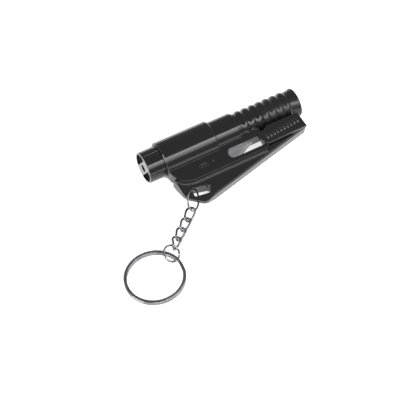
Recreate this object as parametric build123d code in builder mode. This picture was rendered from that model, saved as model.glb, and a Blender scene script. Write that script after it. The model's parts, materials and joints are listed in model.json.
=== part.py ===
from build123d import *

import os
from math import asin, atan2, cos, degrees, hypot, pi, radians, sin

# A keychain car rescue tool: a barrel with a spring-loaded window punch, a flat keel that holds a
# seat-belt blade, a snap-on clip that covers the blade's slot, and a curb chain with a split ring.
#
# Every piece of the tool and its clip is drawn in the tool's own frame: X runs along the barrel from
# the nose face to the rear cap, the keel points to -Y and Z is square to the keel.  At the end the
# pieces are rolled about the barrel's axis so that the tool lies on a table, on its sleeve and on
# the clip's lower edge.  The chain is drawn directly where it lies on that table.

os.makedirs("parts", exist_ok=True)

# Barrel, along X
SLEEVE_R = 8.9
SLEEVE_FRONT = 8.6
SLEEVE_REAR = 35.6
MIDDLE_R = 7.8
MIDDLE_REAR = 48.0
RIB_CREST_R = 7.2
RIB_ROOT_R = 6.65
RIB_MEAN_R = (RIB_CREST_R + RIB_ROOT_R) / 2
RIB_PITCH = 3.8
FIRST_VALLEY = 50.1
CASE_RIBS = 3
CAP_RIBS = 4
SEAM = FIRST_VALLEY + CASE_RIBS * RIB_PITCH
CAP_REAR = 81.2
CAP_FLARE_R = 7.15

# Bores and the mechanism's fits
SLIDING_GAP = 0.07
NOSE_R = 7.65
NOSE_REAR = 20.0
NOSE_COLLAR_R = 8.0
NOSE_BORE_R = 5.2
NOSE_WALL = 3.0
CHAMBER_FRONT = 12.2
CHAMBER_REAR = 31.0
LINER_R = 6.2
LINER_BORE_R = 5.6
LINER_REAR = 47.0
HAMMER_R = 5.5
HAMMER_REAR = 36.0
SEAT_FRONT = 52.8
SPIGOT_FRONT = 54.5
SPIGOT_R = 5.55
SPIKE_HOLE_R = 1.9

# Keel and blade
KEEL_HALF = 3.5
KEEL_BOTTOM = -17.1
KEEL_FRONT = 8.7
KEEL_CORNER_R = 10.0
KEEL_EDGE = 0.35
SLOT_TOP = -9.8
SLOT_BOTTOM = -14.9
SLOT_FRONT = 38.0
FINGER_TIP = 57.1
BLADE_HALF = 0.3
BLADE_PIN_R = 0.75
PIN_HALF = 2.6
BLADE_PINS = [(35.0, -11.3), (35.4, -14.6)]

# Clip
CLIP_BOTTOM = -4.3
WEB_TOP = 2.4
TAB_BOTTOM = 3.75
TAB_TOP = 5.0
CLIP_GAP = 0.2
CLIP_LOW_Y = -26.75

# Chain
WIRE_A_R = 0.45
RING_A_R = 4.9
LINK_WIRE_R = 0.55
LINK_HALF_LENGTH = 3.4
LINK_HALF_WIDTH = 2.1
LINK_TWIST = 0.8
WIRE_B_R = 0.5
RING_B_R = 3.8
SPLIT_OUTER_R = 14.0
SPLIT_INNER_R = 12.5
SPLIT_COIL = 1.15

# The barrel's sleeve and the clip's lower corner touch the table together
REACH = hypot(CLIP_BOTTOM, CLIP_LOW_Y)
ROLL = degrees(asin(SLEEVE_R / REACH) - atan2(-CLIP_BOTTOM, -CLIP_LOW_Y))


def turned(points):
    """A solid turned about the X axis from a closed outline of (x, radius) points."""
    with BuildPart() as piece:
        with BuildSketch(Plane.XY):
            with BuildLine():
                Polyline(*points, close=True)
            make_face()
        revolve(axis=Axis.X)
    return piece.part


def rib_arcs(start, count):
    """Rounded grip ribs: a wavy line of valley and crest arcs from one mean radius to the next."""
    for i in range(count):
        x = start + i * RIB_PITCH
        quarter = RIB_PITCH / 4
        valley = (x + quarter, RIB_ROOT_R)
        middle = (x + 2 * quarter, RIB_MEAN_R)
        crest = (x + 3 * quarter, RIB_CREST_R)
        ThreePointArc((x, RIB_MEAN_R), valley, middle)
        ThreePointArc(middle, crest, (x + RIB_PITCH, RIB_MEAN_R))


def keel_outline(grow=0.0):
    """The keel's plan below the barrel, with its round front corner, grown all round."""
    front = KEEL_FRONT - grow
    bottom = KEEL_BOTTOM - grow
    radius = KEEL_CORNER_R + grow
    corner = (KEEL_FRONT + KEEL_CORNER_R, KEEL_BOTTOM + KEEL_CORNER_R)
    mid = (corner[0] - radius * cos(pi / 4), corner[1] - radius * sin(pi / 4))
    with BuildSketch() as plan:
        with BuildLine():
            rise = Line((front, -5.0), (front, corner[1]))
            arc = ThreePointArc(rise @ 1, mid, (corner[0], bottom))
            Polyline(arc @ 1, (FINGER_TIP + grow, bottom), (FINGER_TIP + grow, -5.0), (front, -5.0))
        make_face()
    return plan.sketch


def keel_slab():
    """The keel, both halves of its thickness, with its outline softened."""
    with BuildPart() as slab:
        with BuildSketch(Plane.XY.offset(-KEEL_HALF)):
            add(keel_outline())
        extrude(amount=2 * KEEL_HALF)
        rim = slab.edges().filter_by(Axis.Z, reverse=True)
        rim = rim.filter_by(lambda edge: edge.center().Y < -5.5 and edge.center().X < FINGER_TIP - 1)
        fillet(rim, KEEL_EDGE)
    return slab.part


def blade_outline(grow=0.0):
    """Blade blank: square at the front, with its cutting edge slanting across the slot."""
    with BuildSketch() as blank:
        with BuildLine():
            Polyline((33.6, -8.6), (55.4, -8.6), (40.8, -15.9), (33.6, -15.9), close=True)
        make_face()
        offset(amount=grow, kind=Kind.INTERSECTION)
    return blank.sketch


def case_half(side):
    """One moulded half of the case: half the barrel, half the keel and half of every bore."""
    first_mean = FIRST_VALLEY - RIB_PITCH / 4
    last_mean = SEAM - RIB_PITCH / 4
    with BuildPart() as half:
        with BuildSketch(Plane.XY):
            with BuildLine():
                Polyline(
                    (SLEEVE_FRONT, 0), (SLEEVE_FRONT, SLEEVE_R - 0.35), (SLEEVE_FRONT + 0.35, SLEEVE_R),
                    (SLEEVE_REAR - 0.4, SLEEVE_R), (SLEEVE_REAR, SLEEVE_R - 0.4), (SLEEVE_REAR, MIDDLE_R),
                    (MIDDLE_REAR - 0.3, MIDDLE_R), (MIDDLE_REAR, MIDDLE_R - 0.3),
                    (MIDDLE_REAR, RIB_MEAN_R), (first_mean, RIB_MEAN_R),
                )
                rib_arcs(first_mean, CASE_RIBS)
                Polyline(
                    (last_mean, RIB_MEAN_R), (SEAM - 0.1, RIB_ROOT_R), (SEAM - 0.1, 0), (SLEEVE_FRONT, 0),
                )
            make_face()
        revolve(axis=Axis.X)
        add(keel_slab())
        # The belt slot, open to the rear, and the round tip of the finger below it
        with BuildSketch(Plane.XY.offset(-KEEL_HALF)):
            middle_y = (SLOT_TOP + SLOT_BOTTOM) / 2
            length = 2 * (FINGER_TIP + 4 - SLOT_FRONT)
            with Locations((SLOT_FRONT + length / 2, middle_y)):
                RectangleRounded(length, SLOT_TOP - SLOT_BOTTOM, 2.3)
        extrude(amount=2 * KEEL_HALF, mode=Mode.SUBTRACT)
        tip = half.edges().filter_by(Axis.Z).filter_by_position(Axis.X, FINGER_TIP - 0.1, FINGER_TIP + 0.1)
        fillet(tip.filter_by_position(Axis.Y, KEEL_BOTTOM - 0.1, SLOT_BOTTOM + 0.1), 1.0)
        # Bores: front lip, nose chamber, liner seat and rear socket
        with BuildSketch(Plane.XY):
            with BuildLine():
                Polyline(
                    (SLEEVE_FRONT - 1, 0), (SLEEVE_FRONT - 1, NOSE_R + SLIDING_GAP),
                    (CHAMBER_FRONT, NOSE_R + SLIDING_GAP), (CHAMBER_FRONT, NOSE_COLLAR_R + SLIDING_GAP),
                    (CHAMBER_REAR, NOSE_COLLAR_R + SLIDING_GAP), (CHAMBER_REAR, LINER_R),
                    (LINER_REAR, LINER_R), (LINER_REAR, LINER_BORE_R), (SEAM + 1, LINER_BORE_R),
                    (SEAM + 1, 0), (SLEEVE_FRONT - 1, 0),
                )
            make_face()
        revolve(axis=Axis.X, mode=Mode.SUBTRACT)
        # Blade pocket, half in each shell, with the pin holes through it
        with BuildSketch(Plane.XY.offset(-BLADE_HALF - 0.02)):
            add(blade_outline(0.05))
        extrude(amount=2 * BLADE_HALF + 0.04, mode=Mode.SUBTRACT)
        with BuildSketch(Plane.XY.offset(-PIN_HALF)):
            with Locations(*BLADE_PINS):
                Circle(BLADE_PIN_R)
        extrude(amount=2 * PIN_HALF, mode=Mode.SUBTRACT)
        split(bisect_by=Plane.XY, keep=side)
    return half.part


# Upper half of the case, with a small marking recess and a round mould mark
with BuildPart() as upper_shell:
    add(case_half(Keep.TOP))
    with BuildSketch(Plane.XY.offset(KEEL_HALF)):
        with Locations((24.9, -12.5)):
            SlotOverall(4.4, 2.0)
    extrude(amount=-0.35, mode=Mode.SUBTRACT)
    with BuildSketch(Plane.XY.offset(KEEL_HALF - 0.35)):
        with Locations((23.9, -12.5), (24.9, -12.5), (25.9, -12.5)):
            Circle(0.3)
    extrude(amount=0.25)
    with BuildSketch(Plane.XY.offset(KEEL_HALF)):
        with Locations((29.8, -12.2)):
            Circle(0.55)
    extrude(amount=-0.15, mode=Mode.SUBTRACT)

with BuildPart() as lower_shell:
    add(case_half(Keep.BOTTOM))

# Rear cap: grip ribs, a flared end and the spigot that screws into the case
cap_first_mean = SEAM + RIB_PITCH / 4
cap_last_mean = cap_first_mean + (CAP_RIBS - 1) * RIB_PITCH + RIB_PITCH / 2
with BuildPart() as rear_cap:
    with BuildSketch(Plane.XY):
        with BuildLine():
            quarter = RIB_PITCH / 4
            Polyline(
                (SPIGOT_FRONT, 4.4), (SPIGOT_FRONT, SPIGOT_R), (SEAM + 0.1, SPIGOT_R),
                (SEAM + 0.1, RIB_ROOT_R), (cap_first_mean, RIB_MEAN_R),
            )
            for i in range(CAP_RIBS):
                x = cap_first_mean + i * RIB_PITCH
                ThreePointArc(
                    (x, RIB_MEAN_R), (x + quarter, RIB_CREST_R), (x + 2 * quarter, RIB_MEAN_R)
                )
                if i < CAP_RIBS - 1:
                    ThreePointArc(
                        (x + 2 * quarter, RIB_MEAN_R), (x + 3 * quarter, RIB_ROOT_R),
                        (x + RIB_PITCH, RIB_MEAN_R),
                    )
            Polyline(
                (cap_last_mean, RIB_MEAN_R), (cap_last_mean + 0.5, RIB_ROOT_R),
                (cap_last_mean + 1.1, RIB_ROOT_R),
            )
            ThreePointArc((cap_last_mean + 1.1, RIB_ROOT_R), (78.9, 6.75), (CAP_REAR - 0.7, CAP_FLARE_R))
            ThreePointArc(
                (CAP_REAR - 0.7, CAP_FLARE_R), (CAP_REAR - 0.2, CAP_FLARE_R - 0.17),
                (CAP_REAR, CAP_FLARE_R - 0.6),
            )
            Polyline(
                (CAP_REAR, CAP_FLARE_R - 0.6), (CAP_REAR, 4.6), (CAP_REAR - 0.6, 4.2),
                (CAP_REAR - 0.6, 0), (CAP_REAR - 3.2, 0), (CAP_REAR - 3.2, 4.4), (SPIGOT_FRONT, 4.4),
            )
        make_face()
    revolve(axis=Axis.X)

# Nose plunger: a hollow sliding cup; its face has a cross bar between two D-shaped pockets
nose_blank = turned([
    (0, SPIKE_HOLE_R), (0, NOSE_R - 0.4), (0.12, NOSE_R - 0.12), (0.4, NOSE_R),
    (NOSE_REAR - 2.4, NOSE_R), (NOSE_REAR - 2, NOSE_COLLAR_R), (NOSE_REAR, NOSE_COLLAR_R),
    (NOSE_REAR, NOSE_BORE_R), (14.5, NOSE_BORE_R), (14.5, 5.5), (13.3, 5.5), (13.3, NOSE_BORE_R),
    (NOSE_WALL, NOSE_BORE_R), (NOSE_WALL, SPIKE_HOLE_R),
])
with BuildPart() as nose_plunger:
    add(nose_blank)
    with BuildSketch(Plane.YZ):
        Circle(6.8)
        Rectangle(5.2, 20, rotation=21, mode=Mode.SUBTRACT)
    extrude(amount=1.3, mode=Mode.SUBTRACT)
    # Guide groove along the upper side
    with BuildSketch(Plane.YZ.offset(0.9)):
        with Locations(Location((0, 0), 78)):
            with Locations((NOSE_R, 0)):
                Rectangle(0.6, 1.1)
    extrude(amount=NOSE_REAR - 4, mode=Mode.SUBTRACT)

# Striker: a slim spike with a guide shoulder and a tail that enters the hammer
striker_pin = turned([
    (2.2, 0.9), (2.2, 1.2), (2.9, 1.5), (10.0, 1.5), (10.0, 5.1), (13.0, 5.1), (13.0, 1.2),
    (26.7, 1.2), (27.0, 0.9), (27.0, 0), (5.0, 0), (5.0, 0.9),
])
striker_tip = turned([(0.9, 0), (2.2, 0.9), (5.0, 0.9), (5.0, 0)])
striker_retainer = turned([(13.35, 2.6), (13.35, 5.45), (14.45, 5.45), (14.45, 2.6)])

# Trip collar and hammer, thrown by the firing spring
trip_collar = turned([(20.3, 3.0), (20.3, 7.2), (20.8, 7.5), (22.4, 7.5), (22.4, 3.0)])
hammer = turned([
    (22.6, 1.4), (22.6, 5.0), (23.1, HAMMER_R), (HAMMER_REAR, HAMMER_R), (HAMMER_REAR, 3.6),
    (39.6, 3.6), (40.0, 3.2), (40.0, 0), (33.0, 0), (33.0, 1.4),
])
hammer_sleeve = turned([
    (CHAMBER_REAR + 0.2, LINER_BORE_R), (CHAMBER_REAR + 0.2, LINER_R - 0.02),
    (LINER_REAR - 0.1, LINER_R - 0.02), (LINER_REAR - 0.1, LINER_BORE_R),
])
spring_seat = turned([
    (50.6, 0), (50.6, 3.2), (50.9, 3.5), (SEAT_FRONT, 3.5), (SEAT_FRONT, SPIGOT_R),
    (54.3, SPIGOT_R), (54.3, 0),
])


def coil_spring(front, rear, mean_r, wire_r, turns):
    """A compression spring along X."""
    with BuildPart() as spring:
        with BuildLine():
            path = Helix(
                pitch=(rear - front - 2 * wire_r) / turns, height=rear - front - 2 * wire_r, radius=mean_r,
                center=(front + wire_r, 0, 0), direction=(1, 0, 0),
            )
        with BuildSketch(Plane(origin=path @ 0, z_dir=path % 0)):
            Circle(wire_r)
        sweep(path=path, is_frenet=True)
    return spring.part


return_spring = coil_spring(3.05, 9.95, 3.6, 0.3, 5)
firing_spring = coil_spring(36.05, 52.75, 4.55, 0.45, 8)

# Belt blade, ground to an edge along its slanting side
with BuildPart() as blade:
    with BuildSketch(Plane.XY.offset(-BLADE_HALF)):
        add(blade_outline())
        with Locations(*BLADE_PINS):
            Circle(BLADE_PIN_R, mode=Mode.SUBTRACT)
    extrude(amount=2 * BLADE_HALF)
    faces = blade.faces().filter_by(Plane.XY)
    straight = faces.edges().filter_by(GeomType.LINE)
    slant = straight.filter_by(lambda e: abs((e % 0).X * (e % 0).Y) > 0.1)
    chamfer(slant, 0.25, 1.5)

with BuildPart() as blade_pins:
    with BuildSketch(Plane.XY.offset(-PIN_HALF)):
        with Locations(*BLADE_PINS):
            Circle(BLADE_PIN_R)
    extrude(amount=2 * PIN_HALF)

# Key clip: web beside the keel, block in the slot's mouth, thumb tab over it and the key hole
BLOCK_FRONT = 57.5
BLOCK_TOP = -8.2
TAB_RIDGES = 10
RIDGE_HEIGHT = 0.5
RIDGE_ARCH_R = 2.0
with BuildPart() as key_clip:
    with BuildSketch(Plane.XY.offset(CLIP_BOTTOM)) as web:
        with BuildLine():
            Polyline(
                (9.2, -12.6), (10.4, -22.4), (18.1, -28.4), (57.0, -19.6), (78.3, -14.9),
                (78.3, -8.9), (77.6, BLOCK_TOP), (BLOCK_FRONT, BLOCK_TOP), (BLOCK_FRONT, -15.3),
                (22.0, -15.3), (13.0, -12.6), close=True,
            )
        make_face()
        fillet(web.vertices().group_by(Axis.Y)[0], 4.0)
        fillet(web.vertices().filter_by_position(Axis.Y, -22.5, -22.3), 6.0)
    extrude(amount=WEB_TOP - CLIP_BOTTOM)
    outer_rim = key_clip.edges().filter_by_position(Axis.Y, -29, -14.8).filter_by_position(Axis.X, 11, 78)
    outer_rim = outer_rim.filter_by(Axis.Z, reverse=True).filter_by(lambda e: (e @ 0.5).Y < -15.5)
    fillet(outer_rim, 0.8)
    # Block up to the thumb tab
    with BuildSketch(Plane.XY.offset(WEB_TOP)):
        with Locations(((BLOCK_FRONT + 77.6) / 2, (BLOCK_TOP - 14.0) / 2)):
            Rectangle(77.6 - BLOCK_FRONT, BLOCK_TOP + 14.0)
    extrude(amount=TAB_BOTTOM - WEB_TOP)
    # Shoulder that stands against the keel's edge
    with BuildSketch(Plane.XY.offset(WEB_TOP)):
        add(keel_outline(CLIP_GAP + 1.3))
        with Locations((36.0, 0.0)):
            Rectangle(70, 2 * 13.5, mode=Mode.SUBTRACT)
        with Locations((66.0, -15.0)):
            Rectangle(20, 12, mode=Mode.SUBTRACT)
    extrude(amount=0.85, taper=35)
    # Room for the keel
    with BuildSketch(Plane.XY.offset(-KEEL_HALF - 0.2)):
        add(keel_outline(CLIP_GAP))
    extrude(amount=10, mode=Mode.SUBTRACT)
    # Thumb tab with grip ridges, arched along their length
    with BuildSketch(Plane.XY.offset(TAB_BOTTOM)) as tab:
        with BuildLine():
            Polyline(
                (55.2, -8.9), (55.6, -15.9), (78.2, -15.5), (77.4, -7.2), (60.2, -7.0), (59.3, -8.9),
                close=True,
            )
        make_face()
        fillet(tab.vertices().group_by(Axis.Y)[0], 2.4)
    extrude(amount=TAB_TOP - TAB_BOTTOM)
    fillet(key_clip.faces().sort_by(Axis.Z)[-1].edges(), 0.4)
    for i in range(TAB_RIDGES):
        along = i / (TAB_RIDGES - 1)
        with BuildSketch(Plane.YZ.offset(58.0 + 16.8 * along)):
            with Locations((-12.4 + 1.5 * along, TAB_TOP + RIDGE_HEIGHT - RIDGE_ARCH_R)):
                Circle(RIDGE_ARCH_R)
            with Locations((-12.4 + 1.5 * along, TAB_TOP - 5.2)):
                Rectangle(8, 10, mode=Mode.SUBTRACT)
        extrude(amount=0.8)
    # Key hole, and the rim beyond it thinned so that a ring can pass round it on a table
    with BuildSketch(Plane.XY.offset(CLIP_BOTTOM)) as hole:
        with BuildLine():
            Polyline((14.5, -19.7), (23.4, -21.7), (21.4, -25.2), (14.4, -23.7), close=True)
        make_face()
        fillet(hole.vertices(), 0.9)
    extrude(amount=10, mode=Mode.SUBTRACT)
    with BuildSketch(Plane(origin=(17.0, -21.2, WEB_TOP), z_dir=(-0.234, -0.274, 1))):
        Rectangle(30, 30)
    extrude(amount=6, mode=Mode.SUBTRACT)
    with BuildSketch(Plane(origin=(18.0, -20.8, CLIP_BOTTOM), z_dir=(-0.325, -0.38, -1))):
        Rectangle(30, 30)
    extrude(amount=6, mode=Mode.SUBTRACT)
    # Hollow under the web
    with BuildSketch(Plane.XY.offset(CLIP_BOTTOM)) as hollow:
        with BuildLine():
            Polyline((26.2, -19.0), (26.8, -24.6), (47.0, -20.2), (47.0, -19.0), close=True)
        make_face()
        fillet(hollow.vertices().group_by(Axis.Y)[0], 0.8)
    extrude(amount=5.2, mode=Mode.SUBTRACT)


# Chain, where it lies on the table: each piece's centre, the direction along it and its upward side
RING_A_AT = ((13.0, -24.3, -3.95), (0.42, 0.73, 0.54), (0.62, -0.66, 0.42))
LINKS_AT = [
    ((8.33, -29.29, -5.76), (-0.757, -0.607, -0.242), (0.103, -0.476, 0.873)),
    ((4.07, -32.6, -6.55), (-0.782, -0.617, -0.086), (0.27, -0.461, 0.845)),
    ((-0.23, -35.96, -6.67), (-0.781, -0.625, 0.018), (0.404, -0.482, 0.778)),
    ((-4.26, -39.53, -6.29), (-0.686, -0.721, 0.098), (0.582, -0.463, 0.669)),
]
RING_B_AT = ((-8.44, -43.55, -6.53), (0.851, 0.524, 0.02), (0.24, -0.422, 0.874))
SPLIT_RING_AT = ((-20.77, -51.05, -6.63), (1.0, 0.0, 0.05), (-0.05, 0.065, 1.0))


def lying(centre, along, up):
    """The plane that a chain piece lies in."""
    return Plane(origin=centre, x_dir=along, z_dir=up)


def wire_ring(place, ring_r, wire_r, gap_at, gap):
    """A bent wire ring with a narrow gap between its ends, in degrees round it."""
    with BuildPart() as ring:
        with BuildSketch(Plane.XZ.rotated((0, 0, gap_at + gap / 2))):
            with Locations((ring_r, 0)):
                Circle(wire_r)
        revolve(axis=Axis.Z, revolution_arc=360 - gap)
    return lying(*place).location * ring.part


def curb_link(place):
    """A closed curb-chain link: an oval of wire with its two ends twisted against each other."""
    with BuildPart() as link:
        for side in (1, -1):
            points = [
                (
                    side * LINK_HALF_LENGTH * cos(turn),
                    side * LINK_HALF_WIDTH * sin(turn),
                    -LINK_TWIST * sin(2 * turn),
                )
                for turn in (0, pi / 3, 2 * pi / 3, pi)
            ]
            rise = -2 * LINK_TWIST
            tangents = [(0, side * LINK_HALF_WIDTH, rise), (0, -side * LINK_HALF_WIDTH, rise)]
            with BuildLine():
                path = Spline(*points, tangents=tangents)
            with BuildSketch(Plane(origin=path @ 0, z_dir=path % 0)):
                Circle(LINK_WIRE_R)
            sweep(path=path)
    return lying(*place).location * link.part


jump_ring_a = wire_ring(RING_A_AT, RING_A_R, WIRE_A_R, 215, 8)
jump_ring_b = wire_ring(RING_B_AT, RING_B_R, WIRE_B_R, 300, 8)
links = [curb_link(place) for place in LINKS_AT]

# Split ring: two flat coils of strip joined by a short ramp
coil_mid_r = (SPLIT_OUTER_R + SPLIT_INNER_R) / 2
coil_width = SPLIT_OUTER_R - SPLIT_INNER_R
coil_rise = SPLIT_COIL + 0.05
ramp = 30
RAMP_STEPS = 8
with BuildPart() as split_ring:
    for level in (-coil_rise / 2, coil_rise / 2):
        with BuildSketch(Plane.XZ.rotated((0, 0, ramp / 2))):
            with Locations((coil_mid_r, level)):
                RectangleRounded(coil_width, SPLIT_COIL, 0.35)
        revolve(axis=Axis.Z, revolution_arc=360 - ramp)
    for i in range(RAMP_STEPS + 1):
        climb = min(max((i - 1) / (RAMP_STEPS - 2), 0), 1)
        with BuildSketch(Plane.XZ.rotated((0, 0, (ramp + 2) * (i / RAMP_STEPS - 0.5)))):
            with Locations((coil_mid_r, coil_rise * (climb - 0.5))):
                RectangleRounded(coil_width - 0.04, SPLIT_COIL - 0.04, 0.33)
    loft(ruled=True)

# Every piece in its place: the tool rolled onto the table, the chain as it lies
rest = Rot(X=ROLL)
pieces = {
    "upper_shell": rest * upper_shell.part,
    "lower_shell": rest * lower_shell.part,
    "rear_cap": rest * rear_cap.part,
    "nose_plunger": rest * nose_plunger.part,
    "striker_pin": rest * striker_pin,
    "striker_tip": rest * striker_tip,
    "striker_retainer": rest * striker_retainer,
    "return_spring": rest * return_spring,
    "trip_collar": rest * trip_collar,
    "hammer": rest * hammer,
    "hammer_sleeve": rest * hammer_sleeve,
    "firing_spring": rest * firing_spring,
    "spring_seat": rest * spring_seat,
    "blade": rest * blade.part,
    "blade_pins": rest * blade_pins.part,
    "key_clip": rest * key_clip.part,
    "jump_ring_a": jump_ring_a,
    "jump_ring_b": jump_ring_b,
    "split_ring": lying(*SPLIT_RING_AT).location * split_ring.part,
}
for number, link in enumerate(links, start=1):
    pieces[f"link_{number}"] = link
for name, piece in pieces.items():
    piece.label = name
    export_step(piece, f"parts/{name}.step")
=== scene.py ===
import json
import math

import bpy
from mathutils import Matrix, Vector


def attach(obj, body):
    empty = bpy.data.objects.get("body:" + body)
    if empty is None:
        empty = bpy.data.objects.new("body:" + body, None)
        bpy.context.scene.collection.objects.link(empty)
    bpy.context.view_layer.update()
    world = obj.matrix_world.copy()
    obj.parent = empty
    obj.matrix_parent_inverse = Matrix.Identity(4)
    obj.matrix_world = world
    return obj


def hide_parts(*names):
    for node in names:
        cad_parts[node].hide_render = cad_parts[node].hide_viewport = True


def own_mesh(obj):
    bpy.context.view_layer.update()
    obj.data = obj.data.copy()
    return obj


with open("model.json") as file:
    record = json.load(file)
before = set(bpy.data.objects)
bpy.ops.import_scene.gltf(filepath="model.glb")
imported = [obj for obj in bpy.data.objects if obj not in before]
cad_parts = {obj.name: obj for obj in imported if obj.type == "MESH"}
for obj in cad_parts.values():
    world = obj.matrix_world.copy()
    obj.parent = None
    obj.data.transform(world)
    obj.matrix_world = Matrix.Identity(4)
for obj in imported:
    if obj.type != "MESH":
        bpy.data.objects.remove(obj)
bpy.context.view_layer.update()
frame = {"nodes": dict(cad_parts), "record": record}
nodes = frame["nodes"]

MM = 0.001

# The table lies just under the lowest point of the tool
TABLE_Z = -8.92 * MM
TABLE_SIZE = 4
TABLE_GLOW = 0.72

# The photograph's view: where the camera looks, from which side in degrees and how far away
LOOK_AT = Vector((17.4, -22.7, -8.9)) * MM
VIEW_TURN = -28.6
VIEW_HEIGHT = 55.65
VIEW_DISTANCE = 0.6683
LENS = 130.3
SENSOR_WIDTH = 36

# Studio light
LAMP_DISTANCE = 1.2
WORLD_GLOW = 0.36

# Springs: how finely they are drawn, and how much of each end is a closed coil
POINTS_PER_TURN = 28
CLOSED_TURNS = 0.8


# Shader helpers

def new_material(name):
    """An empty node material with its Principled shader."""
    material = bpy.data.materials.new(name)
    material.use_nodes = True
    return material, material.node_tree, material.node_tree.nodes["Principled BSDF"]


def noise(tree, size, detail=3.0, stretch=(1, 1, 1)):
    """Noise whose features are about `size` metres across, stretched along an axis if asked."""
    place = tree.nodes.new("ShaderNodeTexCoord")
    scale = tree.nodes.new("ShaderNodeMapping")
    scale.inputs["Scale"].default_value = stretch
    grain = tree.nodes.new("ShaderNodeTexNoise")
    grain.inputs["Scale"].default_value = 1 / size
    grain.inputs["Detail"].default_value = detail
    tree.links.new(place.outputs["Object"], scale.inputs["Vector"])
    tree.links.new(scale.outputs["Vector"], grain.inputs["Vector"])
    return grain.outputs["Fac"]


def spread(tree, value, low, high, start=0.3, end=0.7):
    """Map a value's start to end onto low to high."""
    span = tree.nodes.new("ShaderNodeMapRange")
    span.inputs["From Min"].default_value = start
    span.inputs["From Max"].default_value = end
    span.inputs["To Min"].default_value = low
    span.inputs["To Max"].default_value = high
    tree.links.new(value, span.inputs["Value"])
    return span.outputs["Result"]


def blend_colours(tree, amount, first, second):
    """Mix two colours by a 0 to 1 value."""
    mix = tree.nodes.new("ShaderNodeMix")
    mix.data_type = "RGBA"
    mix.inputs["A"].default_value = (*first, 1)
    mix.inputs["B"].default_value = (*second, 1)
    tree.links.new(amount, mix.inputs["Factor"])
    return mix.outputs["Result"]


def soft_edges(tree, radius):
    """Normals that round sharp edges off by `radius`, as a mould's own radii do."""
    soft = tree.nodes.new("ShaderNodeBevel")
    soft.samples = 6
    soft.inputs["Radius"].default_value = radius
    return soft.outputs["Normal"]


def painted_edge_highlight(tree, rounded):
    """Mask for a painted edge highlight: 1 along sharp edges and 0 away from them, from how far the rounded
    normals turn.
    """
    surface = tree.nodes.new("ShaderNodeNewGeometry")
    turn = tree.nodes.new("ShaderNodeVectorMath")
    turn.operation = "DOT_PRODUCT"
    tree.links.new(surface.outputs["Normal"], turn.inputs[0])
    tree.links.new(rounded, turn.inputs[1])
    return spread(tree, turn.outputs["Value"], 1, 0, start=0.8, end=0.97)


def bumps(tree, shader, normal, heights):
    """Add bump maps of (height value, strength, depth in metres) to a normal, for a shader."""
    for height, strength, depth in heights:
        bump = tree.nodes.new("ShaderNodeBump")
        bump.inputs["Strength"].default_value = strength
        bump.inputs["Distance"].default_value = depth
        tree.links.new(height, bump.inputs["Height"])
        tree.links.new(normal, bump.inputs["Normal"])
        normal = bump.outputs["Normal"]
    tree.links.new(normal, shader.inputs["Normal"])


def moulded_plastic(name, colour, highlight_colour, rough, rounding, painted_face_highlight=False):
    """Glossy moulded plastic: faint orange peel, hairline scuffs, and edges painted lighter as a painted
    highlight.

    With the last flag set, the front, at x = 0, is painted lighter as well: a painted highlight for the
    light that face reflects.
    """
    material, tree, shader = new_material(name)
    clouds = noise(tree, 6 * MM)
    rounded = soft_edges(tree, rounding)
    # Lighter edges, convex and concave: a painted highlight along every edge
    highlight_amount = painted_edge_highlight(tree, rounded)
    # The front face, at x = 0, painted lighter: a painted highlight
    if painted_face_highlight:
        place = tree.nodes.new("ShaderNodeTexCoord")
        split = tree.nodes.new("ShaderNodeSeparateXYZ")
        tree.links.new(place.outputs["Object"], split.inputs["Vector"])
        front_highlight = spread(tree, split.outputs["X"], 1, 0, start=0.05 * MM, end=0.2 * MM)
        larger = tree.nodes.new("ShaderNodeMath")
        larger.operation = "MAXIMUM"
        tree.links.new(highlight_amount, larger.inputs[0])
        tree.links.new(front_highlight, larger.inputs[1])
        highlight_amount = larger.outputs["Value"]
    # Edges are painted lighter here, as a painted highlight; so is the front face when that option is on
    tree.links.new(blend_colours(tree, highlight_amount, colour, highlight_colour), shader.inputs["Base Color"])
    tree.links.new(spread(tree, clouds, rough * 0.8, rough * 1.35), shader.inputs["Roughness"])
    peel = noise(tree, 0.9 * MM, 2)
    scuffs = noise(tree, 0.5 * MM, 2, (0.08, 1, 1))
    bumps(tree, shader, rounded, [(peel, 0.12, 0.02 * MM), (scuffs, 0.06, 0.01 * MM)])
    shader.inputs["IOR"].default_value = 1.5
    return material


def metal(name, colour, dull, rough, stretch=(1, 1, 1), grain=0.4, rounding=0.08 * MM):
    """Metal with uneven polish; a stretch turns its grain into brushing or turning marks."""
    material, tree, shader = new_material(name)
    shader.inputs["Metallic"].default_value = 1.0
    clouds = noise(tree, 3 * MM)
    marks = noise(tree, 0.25 * MM, 3, stretch)
    polish = spread(tree, clouds, 0, 1)
    tree.links.new(blend_colours(tree, polish, colour, dull), shader.inputs["Base Color"])
    tree.links.new(spread(tree, marks, rough * 0.7, rough * 1.4), shader.inputs["Roughness"])
    bumps(tree, shader, soft_edges(tree, rounding), [(marks, grain, 0.02 * MM)])
    return material


# Materials: a colour and its painted edge-highlight colour (plastics) or dull version (metals), then how
# rough it is

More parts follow.
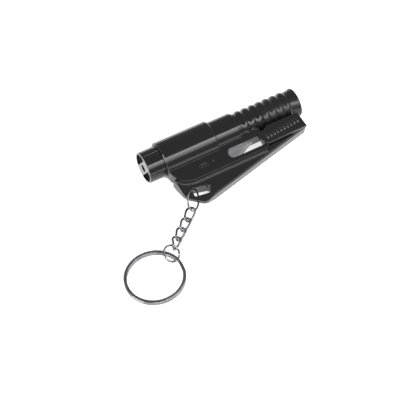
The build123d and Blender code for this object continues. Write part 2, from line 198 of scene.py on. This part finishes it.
black_abs = moulded_plastic("black_abs", (0.009, 0.009, 0.010), (0.1, 0.1, 0.102), 0.1, 0.3 * MM)
black_clip = moulded_plastic("black_clip", (0.010, 0.010, 0.011), (0.12, 0.12, 0.122), 0.16, 0.4 * MM)
black_cap = moulded_plastic("black_cap", (0.009, 0.009, 0.010), (0.08, 0.08, 0.082), 0.25, 0.3 * MM)
black_nose = moulded_plastic("black_nose", (0.008, 0.008, 0.009), (0.13, 0.13, 0.132), 0.09, 0.3 * MM, True)
chrome = metal(
    "chrome_wire", (0.28, 0.28, 0.29), (0.18, 0.18, 0.19), 0.13, grain=0.1, rounding=0.6 * MM,
)
blade_steel = metal("blade_steel", (0.5, 0.5, 0.51), (0.44, 0.44, 0.45), 0.36, (0.03, 1, 1), 0.05)
tool_steel = metal("tool_steel", (0.3, 0.3, 0.31), (0.22, 0.22, 0.23), 0.3, (1, 0.1, 0.1))
spring_steel = metal("spring_steel", (0.4, 0.4, 0.41), (0.3, 0.3, 0.31), 0.25)
carbide = metal("carbide", (0.26, 0.26, 0.28), (0.2, 0.2, 0.21), 0.35)
brass = metal("brass_parts", (0.55, 0.4, 0.17), (0.42, 0.3, 0.13), 0.28, (1, 0.1, 0.1))

slot_finishes = {
    "black_abs": black_abs,
    "black_nose": black_nose,
    "chrome_wire": chrome,
    "blade_steel": blade_steel,
    "tool_steel": tool_steel,
    "spring_steel": spring_steel,
    "carbide": carbide,
    "brass_parts": brass,
}
# Two nodes share a slot with the case but are a little duller than it
node_finishes = {"key_clip": black_clip, "rear_cap": black_cap}
for entry in frame["record"]["subparts"]:
    slots = nodes[entry["node"]].data.materials
    slots.clear()
    slots.append(node_finishes.get(entry["node"], slot_finishes[entry["material_slot"]]))


def add_object(name, data):
    """A new object in the scene for a curve, lamp or camera."""
    thing = bpy.data.objects.new(name, data)
    bpy.context.scene.collection.objects.link(thing)
    return thing


# The two springs, wound from wire

def coil_spring(node, body, fixed_x, moving_x, coil_r, wire_r, turns):
    """A wound wire in place of a CAD spring, in millimetres, from fixed_x to moving_x."""
    wire = bpy.data.curves.new(node + "_wire", "CURVE")
    wire.dimensions = "3D"
    wire.bevel_depth = wire_r * MM
    wire.bevel_resolution = 3
    wire.use_fill_caps = True
    inset = math.copysign(wire_r, moving_x - fixed_x)
    first, last = fixed_x + inset, moving_x - inset
    count = turns * POINTS_PER_TURN
    line = wire.splines.new("POLY")
    line.points.add(count)
    for i, point in enumerate(line.points):
        along = i / count
        angle = 2 * math.pi * turns * along
        rise = min(max((along * turns - CLOSED_TURNS) / (turns - 2 * CLOSED_TURNS), 0), 1)
        x = first + (last - first) * rise
        point.co = (x * MM, coil_r * math.cos(angle) * MM, coil_r * math.sin(angle) * MM, 1)
    coil = add_object(node + "_coil", wire)
    bpy.context.view_layer.objects.active = coil
    coil.select_set(True)
    bpy.ops.object.convert(target="MESH")
    coil = bpy.context.object
    coil.select_set(False)
    coil.data.materials.clear()
    coil.data.materials.append(spring_steel)
    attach(coil, body)
    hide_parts(node)
    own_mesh(coil)


coil_spring(
    "firing_spring", "tool",
    fixed_x=52.75, moving_x=36.05, coil_r=4.55, wire_r=0.45, turns=8,
)
coil_spring(
    "return_spring", "nose",
    fixed_x=3.05, moving_x=9.95, coil_r=3.6, wire_r=0.3, turns=5,
)


# Floor, light and camera

def aim(thing, turn, height, distance):
    """Put a lamp or camera `turn` degrees round from the front towards +X, facing the object."""
    turn, height = math.radians(turn), math.radians(height)
    away = Vector((
        math.sin(turn) * math.cos(height), -math.cos(turn) * math.cos(height), math.sin(height),
    ))
    thing.location = LOOK_AT + away * distance
    thing.rotation_euler = (-away).to_track_quat("-Z", "Y").to_euler()


def floor():
    """A plain white table that the studio lights wash out."""
    material, tree, shader = new_material("white_floor")
    whites = blend_colours(tree, noise(tree, 2 * MM), (0.86, 0.86, 0.86), (0.9, 0.9, 0.9))
    tree.links.new(whites, shader.inputs["Base Color"])
    shader.inputs["Roughness"].default_value = 0.9
    shader.inputs["Specular IOR Level"].default_value = 0.0
    shader.inputs["Emission Color"].default_value = (1, 1, 1, 1)
    shader.inputs["Emission Strength"].default_value = TABLE_GLOW
    bpy.ops.mesh.primitive_plane_add(size=TABLE_SIZE, location=(0, 0, TABLE_Z))
    plane = bpy.context.object
    plane.name = "table_top"
    plane.data.materials.append(material)


def softbox(name, turn, height, size, glow, fade):
    """A rectangular area light of `size` metres, `height` degrees up, that faces the object.

    `glow` is its brightness along the top edge, and `fade` the share of that left along the bottom.
    """
    data = bpy.data.lights.new(name, "AREA")
    data.shape = "RECTANGLE"
    data.size, data.size_y = size
    data.energy = glow * math.pi * size[0] * size[1]
    data.use_nodes = True
    lamp = add_object(name, data)
    aim(lamp, turn, height, LAMP_DISTANCE)
    lamp.visible_camera = False
    middle = lamp.location.z
    reach = size[1] / 2 * math.cos(math.radians(height))
    tree = data.node_tree
    surface = tree.nodes.new("ShaderNodeNewGeometry")
    split = tree.nodes.new("ShaderNodeSeparateXYZ")
    tree.links.new(surface.outputs["Position"], split.inputs["Vector"])
    level = spread(tree, split.outputs["Z"], fade, 1, start=middle - reach, end=middle + reach)
    tree.links.new(level, tree.nodes["Emission"].inputs["Strength"])


floor()
softbox("front_box", turn=15, height=42.5, size=(2.4, 0.65), glow=7.5, fade=0.04)
softbox("left_strip", turn=-82, height=14, size=(0.7, 0.4), glow=14, fade=0.5)

world = bpy.data.worlds.new("studio")
bpy.context.scene.world = world
world.use_nodes = True
world.node_tree.nodes["Background"].inputs["Color"].default_value = (1, 1, 1, 1)
world.node_tree.nodes["Background"].inputs["Strength"].default_value = WORLD_GLOW

camera_data = bpy.data.cameras.new("camera")
camera_data.lens = LENS
camera_data.sensor_width = SENSOR_WIDTH
camera_data.clip_start = 0.01
camera = add_object("camera", camera_data)
aim(camera, VIEW_TURN, VIEW_HEIGHT, VIEW_DISTANCE)
bpy.context.scene.camera = camera
bpy.context.scene.view_settings.view_transform = "Standard"
